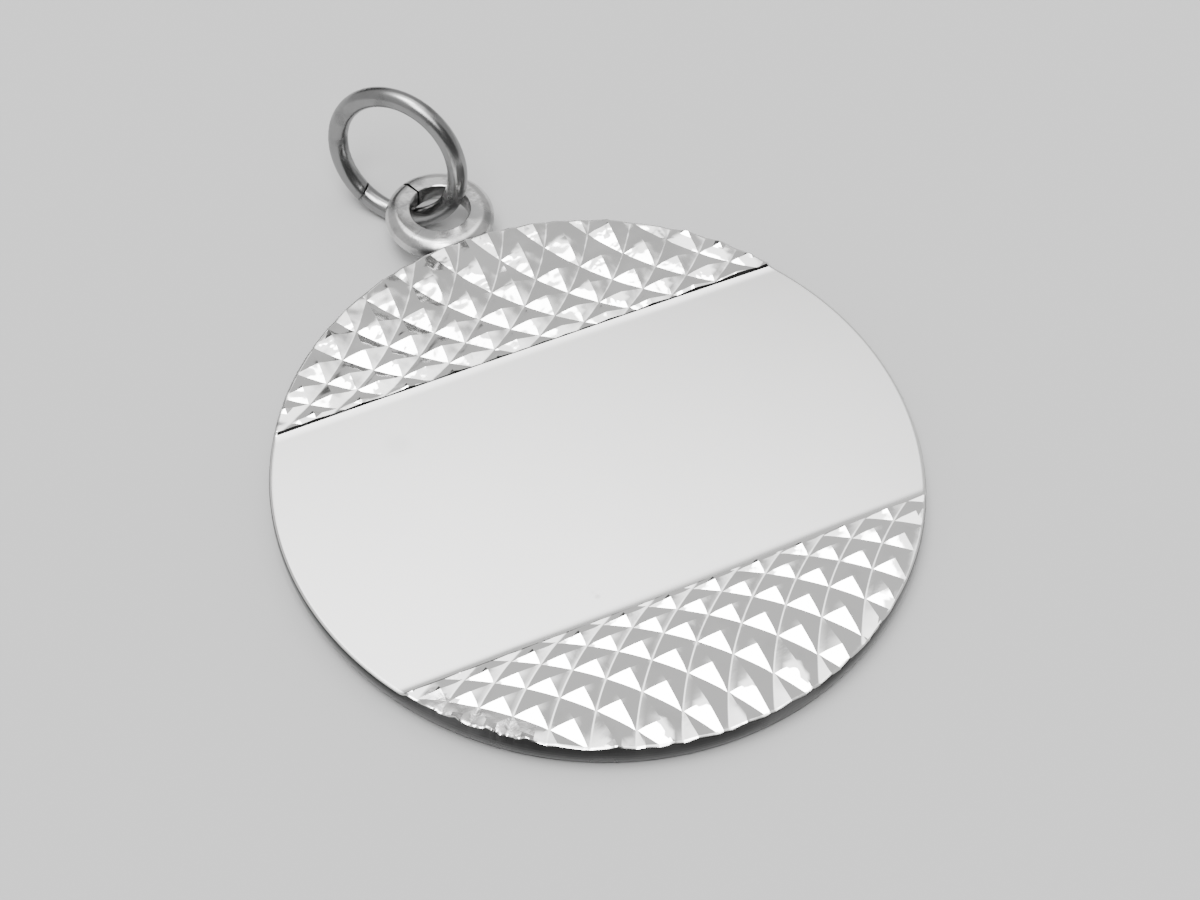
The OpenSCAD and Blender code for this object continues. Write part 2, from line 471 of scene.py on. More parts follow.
# Near black: painted shade and dark reflection on the upper segment's chord wall, the thin black line beside
# the band.
WALL_PAINTED_SHADE = Metal(
    "wall_painted_shade", Tone.DARK, Tone.BLACK, rough=(0.2, 0.4), dulled=(0.2, 0.5), clouds=0.5,
    grain=(7.0, 0.001), waves=(0.5, 0.005),
)
TORN_SKIN = Metal(
    "torn_skin", Tone.SOFT, Tone.DULL, rough=(0.3, 0.45), dulled=(0.4, 0.6), clouds=1.6,
    grain=(7.0, 0.002), waves=(1.5, 0.03),
)
BACK_SATIN = Metal(
    "back_satin", Tone.SATIN, Tone.SOFT, rough=(0.25, 0.4), dulled=(0.5, 0.8), clouds=0.3,
    grain=(8.0, 0.001), waves=(0.3, 0.01),
)
EYE_SATIN = Metal(
    "eye_satin", Tone.SOFT, Tone.SHADE, rough=(0.16, 0.32), dulled=(0.42, 0.7), clouds=0.9,
    grain=(7.0, 0.001), waves=(0.8, 0.012),
)
WIRE_SATIN = Metal(
    "wire_satin", Tone.SHADE, Tone.DARK, rough=(0.24, 0.36), dulled=(0.45, 0.8), clouds=0.7,
    grain=(7.0, 0.001), waves=(0.6, 0.01),
)


# The plate


class Part(Enum):
    """The plate's faces, by material number."""

    BAND = 0
    LOWER = 1
    UPPER = 2
    RIM = 3
    BACK = 4
    WALL = 5
    TORN = 6


PLATE_FINISHES = {
    Part.BAND: BAND_POLISH,
    Part.LOWER: CLEAN_CUT,
    Part.UPPER: RAGGED_CUT,
    Part.RIM: RIM_PAINTED_DARK,
    Part.BACK: BACK_SATIN,
    Part.WALL: WALL_PAINTED_SHADE,
    Part.TORN: TORN_SKIN,
}


@dataclass(frozen=True)
class Pattern:
    """Diamond cut of one segment, seen with the segment towards +Y.

    A crossing of two grooves has a number along the rising arcs and one along the falling arcs. A row is the
    crossings whose two numbers differ by the same.

    Attributes:
        step: The grooves' step along the chord.
        spread: How far apart the lowest points of the two arcs through a crossing of row 0 lie.
        slide: How far the pattern is moved along the chord.
        turn: How far it is turned about the plate's middle.
        overlap: How far the arcs' lowest points lie within the band's edge.
        part: The segment's faces.
        swing_r: The arcs' radius.
        flank: The pyramids' flank angle.
        groove_z: The groove lines' height at the rim.
        dish: How much lower the dished face lies at the plate's middle.
        disc_r: The plate's radius.
        band_edge: How far the band's edge lies from the plate's middle.
        groove_soft: The rounding of the steep grooves.
        groove_steps: The steps of that rounding.
        chatter: How uneven the facets are.
        chatter_size: The unevenness's size, in features per millimetre.
        peak_soft: The share of its height that a peak has lost.
        chord_low: The share of the relief that is left at the chord.
        chord_fade: The distance from the chord at which the relief is whole.
        rim_drop: The share of the relief that is lost at the rim.
        rim_fade: The radii between which it is lost.
        sub: The faces along a pyramid's side.
        cells: The pyramids along each side of the grid.
        mid_cell: The grid's middle, as a number along the rising arcs. It is the opposite along the falling.
        first_row: The first row that is kept.
        spare_out: How far beyond the rim pyramids are kept.
        spare_in: How far within the band's edge pyramids are kept.
    """

    step: float
    spread: float
    slide: float
    turn: float
    overlap: float
    part: Part
    swing_r: float = 12.0
    flank: float = 18.0
    groove_z: float = 1.11
    dish: float = 0.11
    disc_r: float = 12.0
    band_edge: float = 6.05
    groove_soft: float = 0.04
    groove_steps: int = 4
    chatter: float = 0.0
    chatter_size: float = 2.0
    peak_soft: float = 0.15
    chord_low: float = 0.5
    chord_fade: float = 0.6
    rim_drop: float = 0.5
    rim_fade: tuple[float, float] = (11.1, 11.85)
    sub: int = 6
    cells: int = 20
    mid_cell: int = 4
    first_row: int = 2
    spare_out: float = 1.9
    spare_in: float = 1.6

    def row_y(self, row: float) -> float:
        """Return how far a row of crossings lies from the plate's middle."""
        half = min((row * self.step + self.spread) / 2.0, self.swing_r)
        return self.band_edge - self.overlap + self.swing_r - math.sqrt(self.swing_r**2 - half**2)

    def low(self, rising: float, falling: float) -> Vector:
        """Return the groove lines' point at a crossing, or between two crossings of one groove."""
        x = self.slide + self.step * (rising + falling) / 2.0
        return self.on_floor(x, self.row_y(rising - falling))

    def on_floor(self, x: float, y: float) -> Vector:
        """Return the point of the dished face that the groove lines lie in."""
        return Vector((x, y, self.groove_z - self.dish * (1.0 - (x * x + y * y) / self.disc_r**2)))

    def peak(self, rising: int, falling: int) -> Vector:
        """Find the peak of the pyramid beyond a crossing.

        Args:
            rising: The crossing's number along the rising arcs.
            falling: Its number along the falling arcs.

        Returns:
            The peak, before it is worn.
        """
        row = rising - falling
        half, y = self.step / 2.0, self.row_y(row)
        up, down = self.row_y(row + 1) - y, y - self.row_y(row - 1)
        upper, lower = math.hypot(half, up), math.hypot(half, down)
        across = self.slide + self.step * (rising + falling + 1) / 2.0
        foot = self.on_floor(across, y + (up * lower - down * upper) / (upper + lower))
        return foot + UP * math.tan(math.radians(self.flank)) * half * (up + down) / (upper + lower)

    def place(self, rising: float, falling: float) -> Vector:
        """Find the cut face's point at a place of the pattern.

        Args:
            rising: The place along the rising arcs.
            falling: The place along the falling arcs.

        Returns:
            The point on the pyramid there.
        """
        low_r, low_f = math.floor(rising), math.floor(falling)
        across, along = 2.0 * (rising - low_r) - 1.0, 2.0 * (falling - low_f) - 1.0
        out = max(abs(across), abs(along))
        peak = self.peak(low_r, low_f)
        if out < 1e-6:
            return peak - UP * self.peak_soft * (peak.z - self.on_floor(peak.x, peak.y).z)
        foot = self.low(low_r + (across / out + 1.0) / 2.0, low_f + (along / out + 1.0) / 2.0)
        point = peak.lerp(foot, out)
        base = self.on_floor(point.x, point.y)
        from_chord = smooth(0.0, self.chord_fade, point.y - self.band_edge)
        chord = self.chord_low + (1.0 - self.chord_low) * from_chord
        worn = (1.0 - self.peak_soft * (1.0 - out) ** 3) * chord
        rim = 1.0 - self.rim_drop * smooth(*self.rim_fade, point.xy.length)
        return base + UP * (point.z - base.z) * worn * rim

    def surface(self) -> bmesh.types.BMesh:
        """Build the pyramids over the whole segment, with a few cells to spare.

        Returns:
            The mesh of the cut face, before it is trimmed.
        """
        bm = bmesh.new()
        count, half = self.cells * self.sub, self.cells // 2
        bmesh.ops.create_grid(bm, x_segments=count, y_segments=count, size=1.0)
        first_r, first_f = self.mid_cell - half, -self.mid_cell - half
        at = {v: tuple(round((c + 1.0) / 2.0 * count) for c in v.co.xy) for v in bm.verts}
        spare, middle = [], self.sub / 2.0
        for face in bm.faces[:]:
            corners = {at[v]: v for v in face.verts}
            gx, gy = min(corners)
            rising, falling = gx // self.sub + first_r, gy // self.sub + first_f
            peak = self.peak(rising, falling)
            beyond = peak.xy.length > self.disc_r + self.spare_out or peak.y < self.band_edge - self.spare_in
            if rising - falling < self.first_row or beyond:
                spare.append(face)
                continue
            across, along = gx % self.sub + 0.5 - middle, gy % self.sub + 0.5 - middle
            if across == along:
                bmesh.utils.face_split(face, corners[gx, gy], corners[gx + 1, gy + 1])
            elif across == -along:
                bmesh.utils.face_split(face, corners[gx + 1, gy], corners[gx, gy + 1])
        bmesh.ops.delete(bm, geom=spare, context="FACES")
        lines: Edges = []
        for edge in bm.edges:
            first_y, last_y = (at[v][1] for v in edge.verts)
            if first_y == last_y and first_y % self.sub == 0:
                lines.append(edge)
        for vert in bm.verts:
            gx, gy = at[vert]
            vert.co = self.place(gx / self.sub + first_r, gy / self.sub + first_f)
            vert.co.z += self.chatter * noise.noise(vert.co * self.chatter_size)
        bmesh.ops.transform(bm, matrix=turned(self.turn), verts=bm.verts)
        bmesh.ops.bevel(
            bm, geom=lines, offset=self.groove_soft, offset_type="OFFSET", segments=self.groove_steps,
            profile=0.5, affect="EDGES", clamp_overlap=True, material=-1,
        )
        return bm


@dataclass(frozen=True)
class Tear:
    """The stretch of the lower cut's outer edge where the cutter broke out of the rim.

    Attributes:
        start: The headings between which it starts, seen as the pattern is.
        stop: The headings between which it ends.
        depth: How far within the rim the unevenness starts, and how far within it is whole.
        sizes: The size of the coarse and the fine unevenness, in features per millimetre.
        heights: The height of each.
        bites: The share of the radius by which each moves the outline.
        outline: How far within the rim a moved corner of the outline lies at most.
        skin: The width of the torn skin.
        clear: How far the torn outline stays within the plate's wall.
        cuts: How many corners each edge of the outline gets.
    """

    start: tuple[float, float] = (31.5, 35.5)
    stop: tuple[float, float] = (51.0, 57.0)
    depth: tuple[float, float] = (1.1, 0.1)
    sizes: tuple[float, float] = (1.7, 5.0)
    heights: tuple[float, float] = (0.07, 0.03)
    bites: tuple[float, float] = (0.013, 0.009)
    outline: float = 0.05
    skin: float = 0.75
    clear: float = 0.03
    cuts: int = 3

    def share(self, vert: bmesh.types.BMVert) -> float:
        """Return how badly the edge is torn at a vertex, from 0 to 1."""
        angle = math.degrees(math.atan2(vert.co.y, vert.co.x))
        return smooth(*self.start, angle) * (1.0 - smooth(*self.stop, angle))


@dataclass
class Plate:
    """The round plate: two diamond-cut segments, the sunk band between them, the rim and the back.

    Attributes:
        rest: How it lies.
        disc_r: Its radius at the bulge of the wall.
        plate_t: Its thickness.
        rim_bulge: How far the wall bulges.
        foot_edge: The rounding of the lower edge.
        band_z: The band's height.
        band_edge: How far the band's edge lies from the middle.
        edge_w: The width over which the band turns up to its edge.
        edge_rise: How high it turns up at most.
        rise_share: The share of the wall's height that it turns up at most.
        edge_steps: The steps of the upturned edge.
        toe: How far the wall's foot lies within the band's edge, as a share of the wall's height.
        toe_merge: The corners of the wall's foot that are nearer than this become one.
        lip_soft: The rounding of the wall's upper edge.
        lip_in: The share of that rounding that the wall first goes towards the band.
        lip_down: The share of the wall's height that it first goes down.
        dish: How much higher the groove lines lie at the rim than at the middle.
        top_r: The face's radius.
        band_round: The rim's rounding beside the band.
        cut_round: The rim's rounding beside the cut.
        round_steps: The steps of each rounding.
        bright_steps: The steps of the rim's rounding that are polished as the band is.
        round_end: How far within the band's edge the rim's rounding changes.
        least_round: The least width of the rim's rounding.
        rim_steps: The flats that trim the face's outline.
        trim_from: The least share of +Y in the heading of a flat that reaches the segment.
        arc_steps: The steps of the band's arcs.
        wall_level: The height from which the wall has level lines.
        wall_heights: The heights of the next lines.
        merge: Corners of the cut face that are nearer than this become one.
        ragged_tilt: How far a facet tilts each way at least to be marked as ragged.
        crease: The angle from which an edge of the cut is sharp.
        tear: The torn stretch of the lower segment's edge.
        patterns: The segments' patterns.
    """

    rest: Rest
    disc_r: float = 11.998
    plate_t: float = 1.45
    rim_bulge: float = 0.21
    foot_edge: float = 0.2
    band_z: float = 1.0
    band_edge: float = 6.05
    edge_w: float = 0.42
    edge_rise: float = 0.05
    rise_share: float = 0.9
    edge_steps: int = 10
    toe: float = 0.55
    toe_merge: float = 0.06
    lip_soft: float = 0.028
    lip_in: float = 0.4
    lip_down: float = 0.1
    dish: float = 0.11
    top_r: float = 11.84
    band_round: float = 0.12
    cut_round: float = 0.08
    round_steps: int = 5
    bright_steps: int = 3
    round_end: float = 0.1
    least_round: float = 0.01
    rim_steps: int = 192
    trim_from: float = 0.42
    arc_steps: int = 56
    wall_level: float = 0.8
    wall_heights: tuple[float, ...] = (0.65, 0.5, 0.35)
    merge: float = 0.002
    ragged_tilt: float = 0.05
    crease: float = 14.0
    tear: Tear = Tear()
    patterns: tuple[Pattern, ...] = (
        Pattern(1.84, 0.66, 1.22, -2.4, 1.7, Part.UPPER, chatter=0.018),
        Pattern(1.77, 1.14, 1.23, 1.1, 1.37, Part.LOWER),
    )

    def wall(self, z: float) -> float:
        """Work out the rim wall's radius.

        Args:
            z: A height on the wall.

        Returns:
            The radius there.
        """
        half = self.plate_t / 2.0
        bulge = (half**2 + self.rim_bulge**2) / (2.0 * self.rim_bulge)
        return self.disc_r - bulge + math.sqrt(bulge**2 - (z - half) ** 2)

    def on_band(self, vert: bmesh.types.BMVert) -> bool:
        """Tell whether a vertex lies at the band's height."""
        return abs(vert.co.z - self.band_z) < ON_LEVEL

    def segment(self, pattern: Pattern) -> bmesh.types.BMesh:
        """Build one segment, trimmed at the rim and joined to the band by its wall and fillet.

        Args:
            pattern: The segment's pattern.

        Returns:
            The segment's mesh, in its place on the plate.
        """
        bm = pattern.surface()
        trim(bm, Vector((0.0, self.band_edge + self.lip_soft, 0.0)), Vector((0.0, -1.0, 0.0)))
        for step in range(self.rim_steps):
            outward = turned(360.0 * (step + 0.5) / self.rim_steps).to_3x3() @ AHEAD
            if outward.y > self.trim_from:
                trim(bm, outward * self.top_r, outward)
        bmesh.ops.remove_doubles(bm, verts=bm.verts, dist=self.merge)
        ragged = bm.faces.layers.float.new("ragged")
        bm.normal_update()
        for face in bm.faces:
            face.smooth = True
            face.material_index = pattern.part.value
            # The grid's faces point down until the whole plate's normals are put right.
            normal = face.normal * math.copysign(1.0, face.normal.z)
            face[ragged] = float(normal.x < -self.ragged_tilt and normal.y < -self.ragged_tilt)
        if pattern.part is Part.LOWER:
            self.burrs(bm)
        for edge in bm.edges:
            edge.smooth = edge.calc_face_angle(0.0) < math.radians(self.crease)
        # The upper segment's chord wall gets the near-black finish, which paints its shade; the lower's
        # keeps the cut's finish.
        self.chord_wall(bm, Part.WALL if pattern.part is Part.UPPER else Part.LOWER)
        if pattern.part is Part.LOWER:
            bmesh.ops.transform(bm, matrix=turned(180.0), verts=bm.verts)
        return bm

    def burrs(self, bm: bmesh.types.BMesh) -> None:
        """Tear the cut's outer edge where the cutter broke out of the rim.

        Args:
            bm: The segment's mesh, before it is turned into place.
        """
        tear = self.tear

        def on_outline(vert: bmesh.types.BMVert) -> bool:
            """Tell whether a vertex lies on the torn stretch of the outline."""
            return vert.co.xy.length > self.top_r - ON_LINE and tear.share(vert) > 0.01

        outline = [e for e in bm.edges if e.is_boundary and all(on_outline(v) for v in e.verts)]
        bmesh.ops.subdivide_edges(bm, edges=outline, cuts=tear.cuts)
        inner, outer = (self.top_r - depth for depth in tear.depth)
        for vert in bm.verts:
            share = tear.share(vert) * smooth(inner, outer, vert.co.xy.length)
            if share > 0.001:
                coarse, fine = (noise.noise(vert.co * size) for size in tear.sizes)
                vert.co.z += share * (tear.heights[0] * coarse + tear.heights[1] * fine)
                if vert.is_boundary and vert.co.xy.length > self.top_r - tear.outline:
                    vert.co.xy *= 1.0 + share * (tear.bites[0] * coarse + tear.bites[1] * fine)
                    vert.co.xy *= min(1.0, (self.disc_r - tear.clear) / vert.co.xy.length)
        for face in bm.faces:
            if all(tear.share(v) > 0.5 and v.co.xy.length > self.top_r - tear.skin for v in face.verts):
                face.material_index = Part.TORN.value

    def chord_wall(self, bm: bmesh.types.BMesh, wall: Part) -> None:
        """Extrude the cut face's straight side down to the band, with a fillet at its foot.

        Args:
            bm: The segment's mesh, which gets the wall.
            wall: The wall's finish; the upper segment's is the near-black one that paints its shade and dark
                reflection.
        """
        ragged = bm.faces.layers.float["ragged"]
        top = bm.verts.layers.float.new("top")
        end = bm.verts.layers.int.new("end")
        cut = self.band_edge + self.lip_soft
        line = [e for e in bm.edges if e.is_boundary and all(abs(v.co.y - cut) < ON_LINE for v in e.verts)]
        verts = sorted({v for e in line for v in e.verts}, key=lambda v: v.co.x)
        for vert in verts:
            vert.co.y = cut
            vert[top] = vert.co.z
            vert[end] = int(vert in (verts[0], verts[-1]))
        for edge in line:
            edge.smooth = False
        cut_faces = set(bm.faces)

        def lip(vert: bmesh.types.BMVert) -> float:
            """Return how high the groove lines lie above the band beside a vertex."""
            return self.dish * (vert.co.x**2 + self.band_edge**2) / self.disc_r**2

        def on_edge(share: float) -> Mover:
            """Make the mover to a line of the band's upturned edge.

            Args:
                share: How far the line lies towards the wall, from 0 to 1.

            Returns:
                The mover.
            """

            def move(vert: bmesh.types.BMVert) -> Vector:
                """Place one vertex of the line, and keep an end vertex on the rim.

                Args:
                    vert: The vertex.

                Returns:
                    Its place.
                """
                start = self.toe * lip(vert)
                back = start + (self.edge_w - start) * (1.0 - share)
                y = self.band_edge - back
                x = math.copysign(math.sqrt(self.top_r**2 - y * y), vert.co.x) if vert[end] else vert.co.x
                rise = min(self.edge_rise, self.rise_share * lip(vert))
                return Vector((x, y, self.band_z + rise * (1.0 - back / self.edge_w) ** 3))

            return move

        def over_lip(vert: bmesh.types.BMVert) -> Vector:
            """Place one vertex below the rounded upper edge."""
            return vert.co + Vector((0.0, -self.lip_in * self.lip_soft, -self.lip_down * lip(vert)))

        line = extrude_ring(bm, line, over_lip)
        line = extrude_ring(bm, line, on_edge(1.0))
        kept = {v for e in line for v in e.verts}
        bmesh.ops.remove_doubles(bm, verts=[v for v in kept if not v[end]], dist=self.toe_merge)
        kept = {v for v in kept if v.is_valid}
        line = [e for e in bm.edges if e.is_boundary and kept.issuperset(e.verts)]
        wall_faces = set(bm.faces) - cut_faces
        for edge in line:
            edge.smooth = False
        for step in reversed(range(self.edge_steps)):
            line = extrude_ring(bm, line, on_edge(step / self.edge_steps))
        for face in set(bm.faces) - cut_faces:
            face.smooth = True
            face[ragged] = 0.0
            face.material_index = wall.value if face in wall_faces else Part.BAND.value

    def band(self, bm: bmesh.types.BMesh) -> None:
        """Join the two segments by the band's arcs and its face.

        Args:
            bm: The mesh of both segments.
        """
        feet = [v for v in bm.verts if self.on_band(v) and v.co.xy.length > self.top_r - ON_LINE]
        for side in (-1.0, 1.0):
            ends = sorted((v for v in feet if v.co.x * side > 0.0), key=lambda v: v.co.y)
            start, stop = ends[0], ends[-1]
            spin_up(bm, [start], -start.co.xy.angle_signed(stop.co.xy), self.arc_steps)
        bmesh.ops.remove_doubles(bm, verts=[v for v in bm.verts if self.on_band(v)], dist=0.001)
        outline = [e for e in bm.edges if len(e.link_faces) < 2 and all(self.on_band(v) for v in e.verts)]
        made = bmesh.ops.edgeloop_fill(bm, edges=outline, mat_nr=Part.BAND.value, use_smooth=True)["faces"]
        log.info("band: %d corners", len(made[0].verts))

    def rim(self, bm: bmesh.types.BMesh) -> None:
        """Extrude the face's outline over the rounded rim, down the wall and under to the back.

        Args:
            bm: The mesh of the whole face.
        """
        top = bm.verts.layers.float["top"]
        soft = bm.verts.layers.float.new("soft")
        bite = bm.verts.layers.float.new("bite")
        line = [e for e in bm.edges if e.is_boundary]
        for edge in line:
            edge.smooth = False
        for vert in {v for e in line for v in e.verts}:
            vert[top] = vert.co.z
            vert[bite] = self.top_r - vert.co.xy.length
            beside_band = abs(vert.co.y) < self.band_edge - self.round_end
            vert[soft] = self.band_round if beside_band else self.cut_round
        before = set(bm.faces)

        def at(radius: float, z: float, vert: bmesh.types.BMVert) -> Vector:
            """Return a vertex's place at a radius and a height."""
            flat = vert.co.xy.normalized() * radius
            return Vector((flat.x, flat.y, z))

        def over_edge(share: float) -> Mover:
            """Make the mover to a line of the rim's rounding.

            Args:
                share: How far the line lies round it, from 0 to 1.

            Returns:
                The mover.
            """
            angle = math.radians(90.0 * share)

            def move(vert: bmesh.types.BMVert) -> Vector:
                """Place one vertex on the rounding.

                Args:
                    vert: The vertex.

                Returns:
                    Its place.
                """
                inner = self.top_r - vert[bite]
                wall = self.wall(vert[top] - vert[soft]) - max(0.0, vert[bite])
                radius = inner + (max(inner + self.least_round, wall) - inner) * math.sin(angle)
                return at(radius, vert[top] - vert[soft] * (1.0 - math.cos(angle)), vert)

            return move

        def down(share: float) -> Mover:
            """Make the mover to a line on the way down to the level part of the wall.

            Args:
                share: How far down the line lies, from 0 to 1.

            Returns:
                The mover.
            """

            def move(vert: bmesh.types.BMVert) -> Vector:
                """Place one vertex on the line."""
                z = (vert[top] - vert[soft]) * (1.0 - share) + self.wall_level * share
                return at(self.wall(z) - max(0.0, vert[bite]) * (1.0 - share), z, vert)

            return move

        def level(radius: float, z: float) -> Mover:
            """Return the mover to a level line."""
            return lambda vert: at(radius, z, vert)

        bright: set[bmesh.types.BMFace] = set()
        for step in range(1, self.round_steps + 1):
            line = extrude_ring(bm, line, over_edge(step / self.round_steps))
            if step == self.bright_steps:
                bright = set(bm.faces) - before
        for share in (0.5, 1.0):
            line = extrude_ring(bm, line, down(share))
        for z in (*self.wall_heights, self.foot_edge):
            line = extrude_ring(bm, line, level(self.wall(z), z))
        foot = self.wall(self.foot_edge) - self.foot_edge
        for step in range(1, self.round_steps + 1):
            angle = math.radians(90.0 / self.round_steps * step)
            radius, z = foot + self.foot_edge * math.cos(angle), self.foot_edge * (1.0 - math.sin(angle))
            line = extrude_ring(bm, line, level(radius, z))
        for face in set(bm.faces) - before:
            face.smooth = True
            # Past the polished first steps, the rim gets the near-black finish: a painted dark reflection on
            # its wall.
            face.material_index = Part.BAND.value if face in bright else Part.RIM.value
        for edge in line:
            edge.smooth = False
        bmesh.ops.edgeloop_fill(bm, edges=line, mat_nr=Part.BACK.value, use_smooth=True)

    def build(self, finishes: list[bpy.types.Material]) -> bpy.types.Object:
        """Build the plate and put it in the disc's place.

        Args:
            finishes: The materials of its faces, in the order of Part.

        Returns:
            The plate.
        """
        bm = bmesh.new()
        for pattern in self.patterns:
            segment = self.segment(pattern)
            holder = bpy.data.meshes.new("segment")
            segment.to_mesh(holder)
            segment.free()
            bm.from_mesh(holder)
            bpy.data.meshes.remove(holder)
        self.band(bm)
        self.rim(bm)
        bmesh.ops.recalc_face_normals(bm, faces=bm.faces)
        bmesh.ops.transform(bm, matrix=self.rest.matrix(), verts=bm.verts)
        plate = finish_piece("plate", bm, finishes)
        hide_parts("disc")
        return plate


# The eye, its solder and the jump ring


@dataclass
class Eye:
    """The soldered eye: a ring of wire with a squared bore and the notch of its seam.

    Attributes:
        rest: How the plate that carries it lies.
        ring_r: The radius of the wire's middle line.
        wire_r: The wire's radius.
        bore_r: The bore's radius.
        shear: How far the wire's top leans in to the bore.
        top_z: The height of the flat top above the wire's middle.
        side: How far the eye lies beside the plate's middle.
        arm: How far it lies from the plate's middle.
        seam_angle: The seam's heading.
        seam_w: The seam's width.
        seam_depth: The seam's depth below the top of the round wire.
        pressed: The share of the seam's width that is pressed down on each side of its middle.
        sides: The wire's sides.
        steps: The steps round the ring.
        seam_steps: The steps across the seam.
        crease: The angle from which an edge is sharp.
        merge: Corners of the pressed seam that are nearer than this become one.
    """

    rest: Rest
    ring_r: float = 1.62
    wire_r: float = 0.54
    bore_r: float = 1.2
    shear: float = 0.18
    top_z: float = 0.46
    side: float = -0.3
    arm: float = 13.956776
    seam_angle: float = 112.0
    seam_w: float = 0.1
    seam_depth: float = 0.4
    pressed: float = 0.4
    sides: int = 40
    steps: int = 120
    seam_steps: int = 4
    crease: float = 35.0
    merge: float = 1e-3

    def off_seam(self, place: Vector) -> float:
        """Return how far a place's heading is from the seam's."""
        return abs(math.degrees(math.atan2(place.y, place.x)) - self.seam_angle)

    def build(self, finishes: list[bpy.types.Material]) -> bpy.types.Object:
        """Spin the wire round the bore and press the seam's notch into its top.

        Args:
            finishes: The wire's material and the seam's near-black one, which paints shade in the notch.

        Returns:
            The eye.
        """
        bm = bmesh.new()
        section = bmesh.ops.create_circle(bm, segments=self.sides, radius=self.wire_r)["verts"]
        for vert in section:
            x, z = vert.co.xy
            sheared = x - self.shear * max(0.0, z / self.wire_r) ** 2
            vert.co.xy = max(sheared, self.bore_r - self.ring_r), min(z, self.top_z)
        notch = math.degrees(self.seam_w / self.ring_r)
        stand_section(bm, section, self.ring_r, self.seam_angle + notch / 2.0)
        around = bm.edges[:]
        for angle, steps in ((360.0 - notch, self.steps), (notch, self.seam_steps)):
            made = spin_up(bm, around, math.radians(angle), steps)
            around = [g for g in made if isinstance(g, bmesh.types.BMEdge)]
        bmesh.ops.remove_doubles(bm, verts=bm.verts, dist=1e-4)
        for vert in bm.verts:
            if self.off_seam(vert.co) < notch * self.pressed:
                vert.co.z = min(vert.co.z, self.wire_r - self.seam_depth)
        bmesh.ops.remove_doubles(bm, verts=bm.verts, dist=self.merge)
        for face in bm.faces:
            face.smooth = True
            # The seam's faces get the near-black finish: painted shade in the notch.
            if self.off_seam(face.calc_center_median()) < notch / 2.0:
                face.material_index = 1
        for edge in bm.edges:
            edge.smooth = edge.calc_face_angle(0.0) < math.radians(self.crease)
        bmesh.ops.recalc_face_normals(bm, faces=bm.faces)
        seat = self.rest.matrix() @ Matrix.Translation((self.side, self.arm, self.wire_r))
        bmesh.ops.transform(bm, matrix=seat, verts=bm.verts)
        return finish_piece("eye_ring", bm, finishes)


@dataclass
class Solder:
    """The bead that fills the wedge between the eye and the rim.

    Attributes:
        rest: How the plate that carries it lies.
        side: How far it lies beside the plate's middle.
        joint_y: How far it lies from the plate's middle.
        height: Its middle's height.
        size: Its half length, half width and half height.
        lumps: How uneven its skin is, as a share of its size.
        lump_size: The unevenness's size, in features per radius, before the bead is flattened.
        detail: How often its faces are divided.
    """

    rest: Rest
    side: float = -0.3
    joint_y: float = 12.0
    height: float = 0.5
    size: tuple[float, float, float] = (0.85, 0.5, 0.36)
    lumps: float = 0.06
    lump_size: float = 2.0
    detail: int = 4

    def build(self, finish: bpy.types.Material) -> bpy.types.Object:
        """Shape a flattened bead with an uneven skin.

        Args:
            finish: Its material.

        Returns:
            The bead.
        """
        bm = bmesh.new()
        bmesh.ops.create_icosphere(bm, subdivisions=self.detail, radius=1.0)
        for vert in bm.verts:
            vert.co *= 1.0 + self.lumps * noise.noise(vert.co * self.lump_size)
            vert.co = Vector(a * b for a, b in zip(vert.co, self.size))
        for face in bm.faces:
            face.smooth = True
        seat = self.rest.matrix() @ Matrix.Translation((self.side, self.joint_y, self.height))
        bmesh.ops.transform(bm, matrix=seat, verts=bm.verts)
        return finish_piece("solder_bead", bm, [finish])


